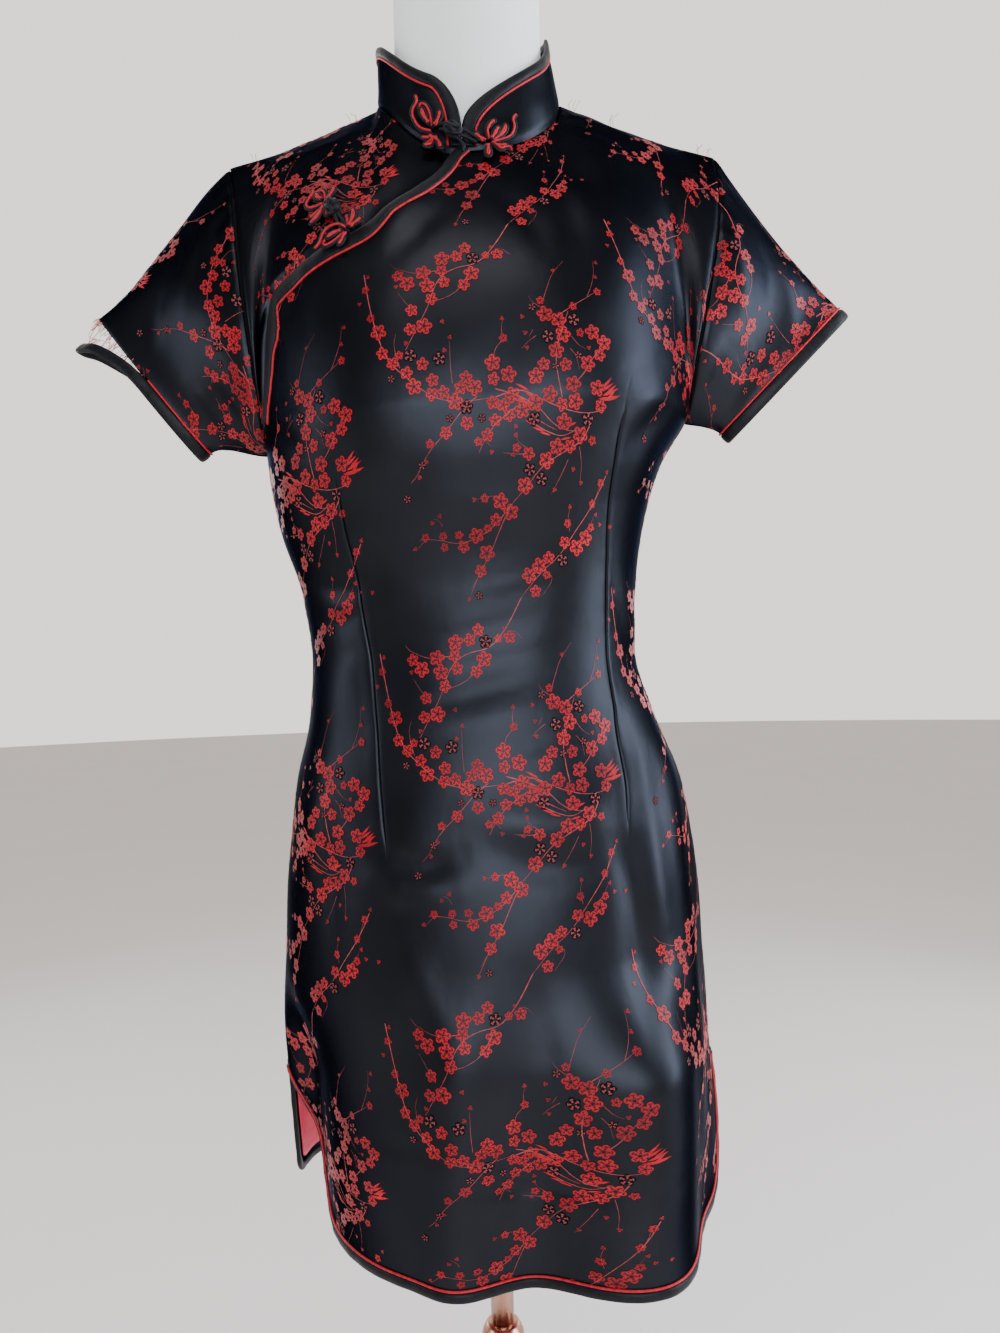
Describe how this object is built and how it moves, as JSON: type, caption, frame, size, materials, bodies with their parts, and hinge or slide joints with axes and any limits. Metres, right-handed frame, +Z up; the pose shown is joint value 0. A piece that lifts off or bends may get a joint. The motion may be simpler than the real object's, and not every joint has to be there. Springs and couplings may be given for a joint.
{
  "type": "cheongsam dress on a dress form",
  "caption": "Short black cheongsam with stand collar, slanted flap, knotted frogs, short sleeves and side slits, worn by a limbless dress form on a round-based pole.",
  "frame": {"origin": "on the floor under the pole of the dress form, at the middle of the base's underside", "axes": "+Z up along the pole, the dress faces -Y, the wearer's right is at -X"},
  "size_m": [0.6019, 0.33, 1.561],
  "materials": {
    "brocade": "satin brocade, black with woven plum blossom",
    "trim_satin": "black satin bias",
    "piping": "red satin piping",
    "lining": "red lining taffeta",
    "jersey": "off-white fine jersey",
    "pole_metal": "satin rose-brown metal"
  },
  "bodies": {
    "root": {"front_panel": "brocade", "under_front": "brocade", "back_panel": "brocade", "sleeve_left": "brocade", "sleeve_right": "brocade", "collar": "brocade", "collar_binding": "trim_satin", "flap_binding": "trim_satin", "cuff_binding_left": "trim_satin", "cuff_binding_right": "trim_satin", "hem_binding_front": "trim_satin", "hem_binding_back": "trim_satin", "collar_piping": "piping", "flap_piping": "piping", "cuff_piping_left": "piping", "cuff_piping_right": "piping", "hem_piping_front": "piping", "hem_piping_back": "piping", "collar_frog_left": "trim_satin", "collar_frog_right": "trim_satin", "collar_frog_knot": "trim_satin", "placket_frog_upper": "trim_satin", "placket_frog_lower": "trim_satin", "placket_frog_knot": "trim_satin", "lining_front": "lining", "lining_back": "lining", "form_torso": "jersey", "pole": "pole_metal", "pole_flange": "pole_metal", "pole_collet": "pole_metal", "pole_socket": "pole_metal", "base_hub": "pole_metal", "base_plate": "pole_metal"}
  },
  "joints": []
}
